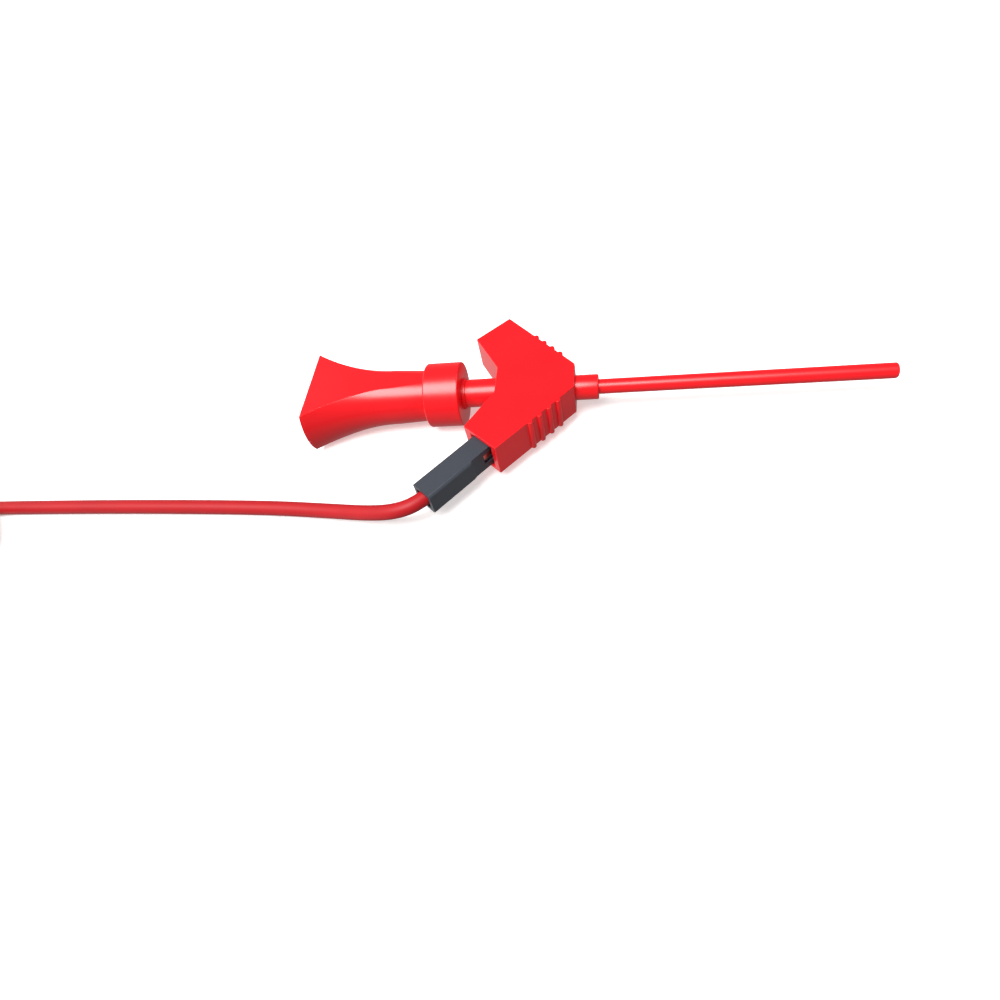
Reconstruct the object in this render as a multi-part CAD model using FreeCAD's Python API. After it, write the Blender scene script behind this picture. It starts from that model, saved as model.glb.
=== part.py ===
import FreeCAD, Part
import math
import os

from FreeCAD import Vector

# Spring-loaded hook clip for the legs of integrated circuits, with its plug-in lead.
# Millimetres. The clip lies level with its axis along X and its claws towards +X.
# The origin is on the surface it lies on, under the middle of the clip's length.
# Stations along the axis are counted from the root of the V between the two arms.

# Overall lengths from the root of the V
button_reach = 19.7
tip_reach = 37.8

# Body housing
body_thickness = 3.7
root_half_width = 1.72
arm_angle = 48.0
arm_end_back = 0.94
arm_end_out = 7.69
arm_end_width = 4.5
nose_face_x = 7.9
nose_half_width = 1.59
edge_chamfer = 0.12

# Nose boss and shaft tube
boss_radius = 1.25
boss_length = 2.3
boss_chamfer = 0.12
tube_radius = 0.74
tube_bore_radius = 0.5
tube_seat_radius = 0.95
tube_seat_depth = 2.6
tube_tip_round = 0.22
wire_hole_radius = 0.55

# Grip ribs across the two front flanks
rib_count = 4
rib_start = 4.45
rib_pitch = 1.24
rib_width = 0.56
rib_height = 0.3

# Square sockets in the arm ends, for a 2.54 mm pitch housing
plug_width = 2.54
plug_length = 14.0
socket_clearance = 0.1
socket_depth = 6.5
socket_seat_gap = 0.05
socket_offset = 0.12
socket_lead_in = 0.12

# Square contact pins
pin_width = 0.64
pin_exposed = 5.2
pin_point = 0.2

# Plunger
rod_radius = 1.43
rod_clearance = 0.06
mouth_length = 0.8
mouth_gap = 0.05
barb_height = 0.16
barb_length = 0.65
barb_tip_radius = 1.25
rod_nose_radius = 1.2
rod_front_x = 2.2
plunger_travel = 2.4
collar_radius = 3.27
collar_length = 3.6
collar_gap = 3.6
collar_chamfer = 0.2
hub_radius = 1.6
hub_length = 0.35
spigot_radius = 1.1
spigot_length = 6.5

# Thumb button
button_neck_radius = 2.78
button_neck_x = 10.7
button_neck_taper = 0.054
button_end_radius = 5.2
button_flat_half = 2.52
button_edge_chamfer = 0.2
button_seam = 0.12

# Spring chamber and what lies in it
chamber_radius = 1.63
chamber_end_x = 6.9
sleeve_wall = 0.18
sleeve_gap = 0.1
washer_thickness = 0.2
washer_clearance = 0.05
spring_wire = 0.24
spring_radius = 0.9
spring_turns = 4.5
spring_wire_sides = 6
spring_end_gap = 0.02

# Stem wire, its crimp and the claws
crimp_radius = 0.48
crimp_length = 4.2
crimp_reach = 2.0
stem_radius = 0.25
pivot_cover = 0.5
pivot_gap = 0.05
claw_wire_radius = 0.16
claw_spacing = 0.38
claw_recess = 0.3
claw_stagger = 0.38
claw_bend = 0.12
claw_hook = 0.24
claw_short_hook = 0.07

# Plug housings and their contacts
plug_corner = 0.2
plug_recess_depth = 0.22
plug_recess_start = 3.7
plug_recess_length = 4.8
plug_recess_slope = 0.4
plug_front_wall = 1.2
plug_pin_hole = 1.0
plug_pin_lead_in = 0.35
plug_cavity = 1.66
plug_window_length = 2.2
plug_window_width = 1.2
plug_window_start = 5.0
contact_width = 1.54
contact_wall = 0.2
contact_box_length = 6.0
contact_neck_length = 1.6
contact_neck_width = 0.9
contact_barrel_length = 3.6
contact_front_gap = 0.1

# Lead
wire_diameter = 1.5
wire_sides = 12
coil_radius = 8.5
coil_half_width = 0.85
coil_height = 4.9
coil_centre = Vector(-71.2, -19.6, 0)
coil_tie_angle = 135.0
coil_tie_width = 2.2
coil_tie_thickness = 0.3
plug_to_bend = 0.6
arc_share = 0.45

# How far a cutting shape runs past the faces that it opens
overcut = 1.0

# The wire's route, from the barrel of the plug's contact to the coil, chosen by hand
wire_bend = [
    Vector(-17.54, -14.54, 2.95),
    Vector(-20.5, -14.1, 2.15),
    Vector(-24.9, -13.0, 1.15),
    Vector(-31.8, -12.1, 0.75),
    Vector(-44.0, -11.6, 0.75),
    Vector(-57.5, -11.25, 0.75),
]
wire_into_coil = Vector(-70.5, -11.1, 0.8)

# The wire's last stretch, from the coil to the far plug
tail_start = Vector(-79.7, -18.9, 4.05)
tail_bend = [
    Vector(-79.9, -21.7, 3.85),
    Vector(-79.6, -25.6, 2.7),
    Vector(-77.25, -29.2, 1.5),
    Vector(-73.5, -31.25, 1.27),
]
far_plug_rear = Vector(-71.5, -31.25, plug_width / 2)
far_plug_turn = 180.0


def row(x, y, z):
    """A point in the clip's frame, from a station on its axis."""
    return Vector(x - (tip_reach - button_reach) / 2, y, z + collar_radius)


def cylinder(radius, x0, x1, y=0.0, z=0.0):
    """A round bar along the clip's axis between two stations."""
    return Part.makeCylinder(radius, x1 - x0, row(x0, y, z), Vector(1, 0, 0))


def revolved(edges):
    """A body of revolution about the axis, from the edges of its half section."""
    return Part.Face(Part.Wire(edges)).revolve(row(0, 0, 0), Vector(1, 0, 0), 360)


def polygon(points):
    return Part.makePolygon(points + points[:1])


def prism(points, height):
    """A flat outline raised by a height along Z."""
    return Part.Face(polygon(points)).extrude(Vector(0, 0, height))


def end_edges(shape, x):
    """The edges that lie in the plane at a station across the axis."""
    plane = row(x, 0, 0).x
    return [e for e in shape.Edges if all(abs(v.Point.x - plane) < 1e-6 for v in e.Vertexes)
            and abs(e.CenterOfMass.x - plane) < 1e-6]


def largest_edge(shape, x):
    return max(end_edges(shape, x), key=lambda e: e.Length)


class Arm:
    """One swept-back arm: its directions and the corners of its end."""

    def __init__(self, side):
        self.side = side
        angle = math.radians(arm_angle)
        self.out = Vector(-math.cos(angle), side * math.sin(angle), 0)
        self.across = Vector(math.sin(angle), side * math.cos(angle), 0)
        self.end = row(-arm_end_back, side * arm_end_out, 0)
        self.inner = self.end - self.across * (arm_end_width / 2)
        self.outer = self.end + self.across * (arm_end_width / 2)
        self.root = row(0, side * root_half_width, 0)
        self.nose = row(nose_face_x, side * nose_half_width, 0)
        self.socket = self.end + self.across * socket_offset
        self.flank = (self.nose - self.outer).normalize()
        self.flank_normal = Vector(-self.flank.y, self.flank.x, 0) * side

    def bar(self, width, start, end):
        """A square bar on the socket's axis, between two distances out of the arm's end."""
        box = Part.makeBox(end - start, width, width, Vector(start, -width / 2, -width / 2))
        box.Placement = self.placement().multiply(box.Placement)
        return box

    def placement(self):
        """The frame whose X points out of the socket from the middle of its mouth."""
        turn = math.degrees(math.atan2(self.out.y, self.out.x))
        return FreeCAD.Placement(self.socket, FreeCAD.Rotation(Vector(0, 0, 1), turn))


ARMS = {"lead": Arm(-1), "spare": Arm(1)}


def at_mid_height(point):
    return point - Vector(0, 0, body_thickness / 2)


def grip_rib(arm, distance):
    """A half-round rib across the front flank, at a distance from the arm's outer corner."""
    middle = arm.outer + arm.flank * distance
    half = rib_width / 2
    foot = arm.flank_normal * (-edge_chamfer)
    base = [middle - arm.flank * half, middle + arm.flank * half]
    crest = middle + arm.flank_normal * rib_height
    wire = Part.Wire([
        Part.LineSegment(base[0] + foot, base[0]).toShape(),
        Part.Arc(base[0], crest, base[1]).toShape(),
        Part.LineSegment(base[1], base[1] + foot).toShape(),
        Part.LineSegment(base[1] + foot, base[0] + foot).toShape(),
    ])
    wire.translate(Vector(0, 0, -body_thickness / 2))
    return Part.Face(wire).extrude(Vector(0, 0, body_thickness))


def socket_cut(arm):
    """The square pocket of one arm, with a small lead-in at its mouth."""
    width = plug_width + 2 * socket_clearance
    pocket = arm.bar(width, -socket_depth, overcut)
    mouth = width / 2 + socket_lead_in
    near = Part.makePolygon([Vector(0, a * mouth, b * mouth) for a, b in
                             ((-1, -1), (1, -1), (1, 1), (-1, 1), (-1, -1))])
    far = Part.makePolygon([Vector(-socket_lead_in, a * width / 2, b * width / 2) for a, b in
                            ((-1, -1), (1, -1), (1, 1), (-1, 1), (-1, -1))])
    flare = Part.makeLoft([near, far], True, True)
    flare.Placement = arm.placement()
    return pocket.fuse(flare)


def pin_inner_distance(arm):
    """How far behind the socket's mouth the pin meets the sleeve."""
    local = arm.socket - row(0, 0, 0)
    return (abs(local.y) - chamber_radius) / abs(arm.out.y)


def socket_pin(arm):
    """A square pin with a pointed end, held in the wall between the socket and the sleeve."""
    rear = -pin_inner_distance(arm)
    tip = -socket_depth + pin_exposed
    bar = arm.bar(pin_width, rear, tip)
    point = [e for e in bar.Edges if all((v.Point - arm.socket).dot(arm.out) > tip - 1e-6
                                         for v in e.Vertexes)]
    bar = bar.makeChamfer(pin_point, point)
    return bar.cut(cylinder(chamber_radius, 0, chamber_end_x))


def body_housing():
    lead, spare = ARMS["lead"], ARMS["spare"]
    outline = [at_mid_height(p) for p in (
        lead.root, lead.inner, lead.outer, lead.nose,
        spare.nose, spare.outer, spare.inner, spare.root)]
    body = prism(outline, body_thickness)
    body = body.makeChamfer(edge_chamfer, body.Edges)
    for arm in ARMS.values():
        for i in range(rib_count):
            body = body.fuse(grip_rib(arm, rib_start + i * rib_pitch))
    boss = cylinder(boss_radius, nose_face_x - mouth_length, nose_face_x + boss_length)
    boss = boss.makeChamfer(boss_chamfer, [largest_edge(boss, nose_face_x + boss_length)])
    body = body.fuse(boss)
    for arm in ARMS.values():
        body = body.cut(socket_cut(arm))
        body = body.cut(arm.bar(pin_width, -pin_inner_distance(arm), -socket_depth))
    body = body.cut(cylinder(rod_radius + rod_clearance, -overcut, mouth_length))
    body = body.cut(cylinder(chamber_radius, mouth_length, chamber_end_x))
    body = body.cut(cylinder(wire_hole_radius, chamber_end_x, nose_face_x + boss_length))
    body = body.cut(cylinder(tube_seat_radius, nose_face_x + boss_length - tube_seat_depth,
                             nose_face_x + boss_length + overcut))
    return body.removeSplitter()


def shaft_tube():
    """A slim tube with a rounded tip and a shoulder that seats on the nose boss."""
    shoulder = nose_face_x + boss_length
    tube = cylinder(tube_radius, shoulder, tip_reach)
    tube = tube.makeFillet(tube_tip_round, [largest_edge(tube, tip_reach)])
    tube = tube.fuse(cylinder(tube_seat_radius, shoulder - tube_seat_depth, shoulder))
    return tube.cut(cylinder(tube_bore_radius, shoulder - tube_seat_depth - overcut, tip_reach + overcut))


def barb_start():
    """The station of the step by which the plunger snaps in behind the body's mouth."""
    return mouth_length + mouth_gap


def rod_profile():
    """Stations and radii of the plunger from its spigot to its nose."""
    collar_front = -collar_gap
    collar_rear = collar_front - collar_length
    barb_x = barb_start()
    return [
        (collar_rear - spigot_length, 0), (collar_rear - spigot_length, spigot_radius),
        (collar_rear, spigot_radius), (collar_rear, collar_radius),
        (collar_front, collar_radius), (collar_front, hub_radius),
        (collar_front + hub_length, hub_radius), (collar_front + hub_length, rod_radius),
        (barb_x, rod_radius), (barb_x, rod_radius + barb_height),
        (barb_x + barb_length, barb_tip_radius), (barb_x + barb_length, rod_nose_radius),
        (rod_front_x, rod_nose_radius), (rod_front_x, 0),
    ]


def plunger():
    body = revolved(polygon([row(x, 0, r) for x, r in rod_profile()]).Edges)
    rear = largest_edge(body, -collar_gap - collar_length)
    front = largest_edge(body, -collar_gap)
    body = body.makeChamfer(collar_chamfer, [rear, front])
    return body.cut(cylinder(crimp_radius, rod_front_x - crimp_reach, rod_front_x + overcut))


def thumb_button():
    """A flared body of revolution, cut by two flats and bored for the plunger's spigot."""
    collar_rear = -collar_gap - collar_length
    neck_end_radius = button_neck_radius - button_neck_taper * (button_neck_x - (-collar_rear))
    length = button_reach - button_neck_x
    rise = button_end_radius - button_neck_radius
    flare_radius = (length ** 2 + rise ** 2) / (2 * rise)
    middle = length / 2
    sag = flare_radius - math.sqrt(flare_radius ** 2 - middle ** 2)
    corners = {
        "axis_rear": row(-button_reach, 0, 0),
        "end": row(-button_reach, 0, button_end_radius),
        "flare": row(-button_neck_x - middle, 0, button_neck_radius + sag),
        "neck": row(-button_neck_x, 0, button_neck_radius),
        "seam": row(collar_rear - button_seam, 0, neck_end_radius),
        "front": row(collar_rear, 0, neck_end_radius - button_seam),
        "axis_front": row(collar_rear, 0, 0),
    }
    c = corners
    edges = [
        Part.LineSegment(c["axis_rear"], c["end"]).toShape(),
        Part.Arc(c["end"], c["flare"], c["neck"]).toShape(),
        Part.LineSegment(c["neck"], c["seam"]).toShape(),
        Part.LineSegment(c["seam"], c["front"]).toShape(),
        Part.LineSegment(c["front"], c["axis_front"]).toShape(),
        Part.LineSegment(c["axis_front"], c["axis_rear"]).toShape(),
    ]
    button = revolved(edges)
    slab = Part.makeBox(button_reach, 2 * button_end_radius, 2 * button_flat_half,
                        row(-button_reach, -button_end_radius, -button_flat_half))
    button = button.common(slab)
    button = button.makeChamfer(button_edge_chamfer, end_edges(button, -button_reach))
    return button.cut(cylinder(spigot_radius, collar_rear - spigot_length, collar_rear + overcut))


def contact_sleeve():
    """A drawn sleeve whose rear end stays clear of the barb with the button pushed in."""
    start = barb_start() + barb_length + plunger_travel + sleeve_gap
    tube = cylinder(chamber_radius, start, chamber_end_x)
    return tube.cut(cylinder(chamber_radius - sleeve_wall, start - overcut, chamber_end_x + overcut))


def spring_washer():
    start = chamber_end_x - washer_thickness
    disc = cylinder(chamber_radius - sleeve_wall - washer_clearance, start, chamber_end_x)
    return disc.cut(cylinder(wire_hole_radius, start - overcut, chamber_end_x + overcut))


def return_spring():
    """A compression spring at its length with the button out, its fine wire drawn with flats."""
    lift = spring_wire / 2 + spring_end_gap
    start = rod_front_x + lift
    length = chamber_end_x - washer_thickness - lift - start
    helix = Part.makeHelix(length / spring_turns, length, spring_radius)
    corners = [math.pi * (2 * i + 1) / spring_wire_sides for i in range(spring_wire_sides)]
    section = polygon([Vector(spring_radius + spring_wire / 2 * math.cos(a), 0,
                              spring_wire / 2 * math.sin(a)) for a in corners])
    spring = Part.Wire(helix.Edges).makePipeShell([section], True, True)
    spring.rotate(Vector(0, 0, 0), Vector(0, 1, 0), 90)
    spring.translate(row(start, 0, 0))
    return spring


def wire_crimp():
    start = rod_front_x - crimp_reach
    tube = cylinder(crimp_radius, start, start + crimp_length)
    return tube.cut(cylinder(stem_radius, start - overcut, start + crimp_length + overcut))


def pivot_x():
    """The station where the claws start to spread, still inside the tube with the button pushed in."""
    return tip_reach - pivot_cover - plunger_travel


def stem_wire():
    return cylinder(stem_radius, rod_front_x - crimp_reach, pivot_x() - pivot_gap)


def claw(side, shortening, hook):
    """A wire that starts at its pivot and is bent inwards to a hook at its tip."""
    y = side * claw_spacing / 2
    bend_x = tip_reach - claw_recess - claw_wire_radius - claw_bend - shortening
    corners = [
        row(pivot_x(), y, 0),
        row(bend_x, y, 0),
        row(bend_x + claw_bend, y - side * claw_bend, 0),
        row(bend_x + claw_bend, y - side * (claw_bend + hook), 0),
    ]
    section = Part.Wire(Part.makeCircle(claw_wire_radius, corners[0], Vector(1, 0, 0)))
    mitred = 1
    return Part.makePolygon(corners).makePipeShell([section], True, False, mitred)


def plug_recess():
    """The shallow recess with sloped ends in one side of a housing, over its latch window."""
    surface = plug_width / 2
    floor = surface - plug_recess_depth
    start, end = plug_recess_start, plug_recess_start + plug_recess_length
    corners = [(start - plug_recess_slope, surface), (start, floor), (end, floor),
               (end + plug_recess_slope, surface)]
    outline = [Vector(x, y, -plug_width / 2) for x, y in corners]
    return prism(outline, plug_width)


def plug_housing(frame):
    """A single-pole housing. Its front face is at the frame's origin and X points to its rear."""
    half = plug_width / 2
    box = Part.makeBox(plug_length, plug_width, plug_width, Vector(0, -half, -half))
    along = [e for e in box.Edges if abs(e.Length - plug_length) < 1e-6]
    box = box.makeChamfer(plug_corner, along)
    box = box.cut(plug_recess())
    cavity = Part.makeBox(plug_length, plug_cavity, plug_cavity,
                          Vector(plug_front_wall, -plug_cavity / 2, -plug_cavity / 2))
    hole = Part.makeBox(plug_front_wall + overcut, plug_pin_hole, plug_pin_hole,
                        Vector(0, -plug_pin_hole / 2, -plug_pin_hole / 2))
    wide = plug_pin_hole / 2 + plug_pin_lead_in
    squares = [Part.makePolygon([Vector(x, a * w, b * w) for a, b in
                                 ((-1, -1), (1, -1), (1, 1), (-1, 1), (-1, -1))])
               for x, w in ((0, wide), (plug_pin_lead_in, plug_pin_hole / 2))]
    lead_in = Part.makeLoft(squares, True, True)
    window = Part.makeBox(plug_window_length, plug_width, plug_window_width,
                          Vector(plug_window_start, 0, -plug_window_width / 2))
    box = box.cut(cavity).cut(hole).cut(lead_in).cut(window)
    box.Placement = frame
    return box


def barrel_start():
    return plug_front_wall + contact_front_gap + contact_box_length + contact_neck_length


def plug_contact(frame):
    """A folded female contact: an open box, a narrow neck and a crimp barrel."""
    start = plug_front_wall + contact_front_gap
    half = contact_width / 2
    inner = contact_width - 2 * contact_wall
    box = Part.makeBox(contact_box_length, contact_width, contact_width, Vector(start, -half, -half))
    box = box.cut(Part.makeBox(contact_box_length + 2 * overcut, inner, inner,
                               Vector(start - overcut, -inner / 2, -inner / 2)))
    neck = Part.makeBox(contact_neck_length + 2 * contact_wall, contact_neck_width, contact_wall,
                        Vector(start + contact_box_length - contact_wall, -contact_neck_width / 2, -half))
    barrel = Part.makeCylinder(half, contact_barrel_length, Vector(barrel_start(), 0, 0), Vector(1, 0, 0))
    barrel = barrel.cut(Part.makeCylinder(half - contact_wall, contact_barrel_length + 2 * overcut,
                                          Vector(barrel_start() - overcut, 0, 0), Vector(1, 0, 0)))
    contact = box.fuse(neck).fuse(barrel).removeSplitter()
    contact.Placement = frame
    return contact


def near_plug_frame():
    """The near plug's frame: its front face lies on the socket's floor, less a seat gap."""
    arm = ARMS["lead"]
    place = arm.placement()
    place.Base = arm.socket - arm.out * (socket_depth - socket_seat_gap)
    return place


def far_plug_frame():
    """The far plug's frame: it lies on the surface beside the coil."""
    turn = FreeCAD.Rotation(Vector(0, 0, 1), far_plug_turn)
    front = far_plug_rear - turn.multVec(Vector(plug_length, 0, 0))
    return FreeCAD.Placement(front, turn)


def wire_seat(frame):
    """Where the wire's insulation ends in a plug: against the rear of the crimp barrel."""
    return frame.multVec(Vector(barrel_start() + contact_barrel_length, 0, 0))


def plug_exit(frame):
    """Where the wire starts to bend, just behind a plug."""
    return frame.multVec(Vector(plug_length + plug_to_bend, 0, 0))


def rounded_route(points):
    """Straight runs joined by tangent arcs, as large as the two runs beside each allow."""
    edges, radii = [], []
    at = points[0]
    for before, corner, after in zip(points, points[1:], points[2:]):
        arrive = corner - before
        leave = after - corner
        cut = min(arrive.Length, leave.Length) * arc_share
        turn = arrive.getAngle(leave)
        radius = cut / math.tan(turn / 2)
        start = corner - arrive.normalize() * cut
        end = corner + leave.normalize() * cut
        chord_middle = (start + end) * 0.5
        outward = (corner - chord_middle).normalize()
        middle = chord_middle + outward * radius * (1 - math.cos(turn / 2))
        edges.append(Part.LineSegment(at, start).toShape())
        edges.append(Part.Arc(start, middle, end).toShape())
        radii.append(radius)
        at = end
    edges.append(Part.LineSegment(at, points[-1]).toShape())
    return edges, radii


def wire_section(start, heading):
    """The wire's outline across its run, as a polygon with many sides."""
    turn = FreeCAD.Rotation(Vector(0, 0, 1), heading)
    steps = [2 * math.pi * i / wire_sides for i in range(wire_sides)]
    return polygon([start + turn.multVec(Vector(math.cos(a), math.sin(a), 0)) * (wire_diameter / 2)
                    for a in steps])


def wire_tube(name, points):
    """The wire along a route, with its length and radii printed."""
    edges, radii = rounded_route(points)
    section = wire_section(points[0], points[1] - points[0])
    tube = Part.Wire(edges).makePipeShell([section], True, False)
    length = sum(e.Length for e in edges)
    share = tube.Volume / (Part.Face(section).Area * length)
    print(name, "length %.1f" % length, "volume over section times length %.4f" % share,
          "radii", [round(r, 1) for r in radii])
    return tube


def lead_points():
    frame = near_plug_frame()
    return [wire_seat(frame), plug_exit(frame)] + wire_bend + [wire_into_coil]


def tail_points():
    return [tail_start] + tail_bend + [wire_seat(far_plug_frame())]


def lead_wire():
    return wire_tube("lead_wire", lead_points())


def lead_tail():
    return wire_tube("lead_tail", tail_points())


def coil_ring():
    """The outer shape of the wound wire."""
    ring = Part.makeCylinder(coil_radius + coil_half_width, coil_height, coil_centre)
    return ring.cut(Part.makeCylinder(coil_radius - coil_half_width, coil_height, coil_centre))


def tie_block(half_width, low, high):
    """A block that crosses the wound wire at the tie's place."""
    block = Part.makeBox(2 * half_width, coil_tie_width, high - low,
                         Vector(coil_radius - half_width, -coil_tie_width / 2, low))
    block.rotate(Vector(0, 0, 0), Vector(0, 0, 1), coil_tie_angle)
    block.translate(coil_centre)
    return block


def coil_tie():
    """A flat band wrapped once round the wound wire, which it pinches together."""
    band = tie_block(coil_half_width + coil_tie_thickness, 0, coil_height + coil_tie_thickness)
    return band.cut(tie_block(coil_half_width, coil_tie_thickness, coil_height))


def lead_coil():
    return coil_ring().cut(coil_tie())


def build():
    near, far = near_plug_frame(), far_plug_frame()
    return {
        "body_housing": body_housing(),
        "shaft_tube": shaft_tube(),
        "plunger": plunger(),
        "thumb_button": thumb_button(),
        "return_spring": return_spring(),
        "spring_washer": spring_washer(),
        "contact_sleeve": contact_sleeve(),
        "lead_socket_pin": socket_pin(ARMS["lead"]),
        "spare_socket_pin": socket_pin(ARMS["spare"]),
        "wire_crimp": wire_crimp(),
        "stem_wire": stem_wire(),
        "left_claw": claw(1, 0, claw_hook),
        "right_claw": claw(-1, claw_stagger, claw_short_hook),
        "plug_housing": plug_housing(near),
        "plug_contact": plug_contact(near),
        "lead_wire": lead_wire(),
        "lead_coil": lead_coil(),
        "lead_tail": lead_tail(),
        "coil_tie": coil_tie(),
        "far_plug_housing": plug_housing(far),
        "far_plug_contact": plug_contact(far),
    }


def main():
    os.makedirs("parts", exist_ok=True)
    for name, shape in build().items():
        solids = shape.Solids
        solid = solids[0] if len(solids) == 1 else Part.makeCompound(solids)
        print(name, "solids", len(solids), "valid", solid.isValid(), "volume %.3f" % solid.Volume)
        solid.exportStep("parts/%s.step" % name)


main()
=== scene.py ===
"""Looks of a spring-loaded hook clip for integrated circuit legs, with its plug-in test lead.

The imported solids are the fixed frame. Sizes here are millimetres, turned to metres by MM where Blender
needs them. Stations along the clip's axis are counted from the root of the V between its two arms.
"""

import logging
import math
from dataclasses import dataclass
from enum import Enum
from typing import Callable, Optional, Sequence

import bmesh
import bpy
from mathutils import Matrix, Vector

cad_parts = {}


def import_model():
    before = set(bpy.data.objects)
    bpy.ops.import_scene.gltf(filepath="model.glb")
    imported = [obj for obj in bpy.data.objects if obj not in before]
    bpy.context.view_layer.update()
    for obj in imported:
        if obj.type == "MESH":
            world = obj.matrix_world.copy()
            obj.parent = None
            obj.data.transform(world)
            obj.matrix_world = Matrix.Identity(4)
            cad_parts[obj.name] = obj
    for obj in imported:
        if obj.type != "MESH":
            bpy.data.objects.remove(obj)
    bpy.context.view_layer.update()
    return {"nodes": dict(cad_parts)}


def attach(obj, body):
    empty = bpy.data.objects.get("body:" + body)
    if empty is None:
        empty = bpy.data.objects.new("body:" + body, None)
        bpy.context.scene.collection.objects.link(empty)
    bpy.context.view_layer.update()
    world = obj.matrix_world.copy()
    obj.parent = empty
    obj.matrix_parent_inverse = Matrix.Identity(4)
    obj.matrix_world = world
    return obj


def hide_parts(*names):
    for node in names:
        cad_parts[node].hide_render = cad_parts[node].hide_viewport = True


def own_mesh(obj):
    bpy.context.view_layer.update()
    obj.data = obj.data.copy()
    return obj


MM = 0.001  # a millimetre in metres
TINY = 1e-6  # metres within which doubled vertices are merged
NEAR = 0.05  # mm within which a corner or edge is the one that is looked for
AXIS_X = -9.05  # where the V's root lies along the row, in mm
AXIS_Z = 3.27  # height of the clip's axis above the floor, in mm
OVERCUT = 1.0  # mm by which a cutting shape reaches past what it cuts

log = logging.getLogger("hook_clip")

Point = tuple[float, float, float]
Profile = Sequence[tuple[float, float]]
Test = Callable[[Vector, Vector], bool]


class Element(Enum):
    """What is selected on a mesh in edit mode."""

    VERTEX = "VERT"
    EDGE = "EDGE"
    FACE = "FACE"


class Side(Enum):
    """The two arms, by the sign of their side of the axis."""

    LEAD = -1
    SPARE = 1


class Slot(Enum):
    """The record's material slots that the pieces take their finish from."""

    NYLON = "red_nylon"
    TUBE = "red_tube"
    SPRING = "spring_steel"
    CLAW = "claw_steel"
    PIN = "pin_metal"
    HOUSING = "black_plastic"
    INSULATION = "red_insulation"
    TIE = "tie_plastic"


class Body(Enum):
    """The moving bodies of the clip."""

    CLIP = "clip_body"
    BUTTON = "button"
    LEFT_JAW = "left_jaw"
    RIGHT_JAW = "right_jaw"
    LEAD = "lead"


class Merge(Enum):
    """How a piece is combined with another one."""

    CUT = "DIFFERENCE"
    UNITE = "UNION"


class Lamp(Enum):
    """The studio's kinds of light."""

    FAR = "SUN"
    CARD = "AREA"


def row(x: float, y: float = 0.0, z: float = 0.0) -> Vector:
    """Gives a point of the clip in the row's frame.

    Args:
        x: Station along the axis from the V's root, in mm.
        y: Distance to the side of the axis, in mm.
        z: Height above the axis, in mm.

    Returns:
        The point in mm.
    """
    return Vector((x + AXIS_X, y, z + AXIS_Z))


def linear(code: str) -> tuple[float, float, float, float]:
    """Turns an sRGB hex colour to linear light.

    Args:
        code: Six hex digits.

    Returns:
        Red, green, blue and alpha.
    """
    parts = [int(code[i:i + 2], 16) / 255 for i in (0, 2, 4)]
    red, green, blue = (c / 12.92 if c <= 0.04045 else ((c + 0.055) / 1.055) ** 2.4 for c in parts)
    return red, green, blue, 1.0


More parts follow.
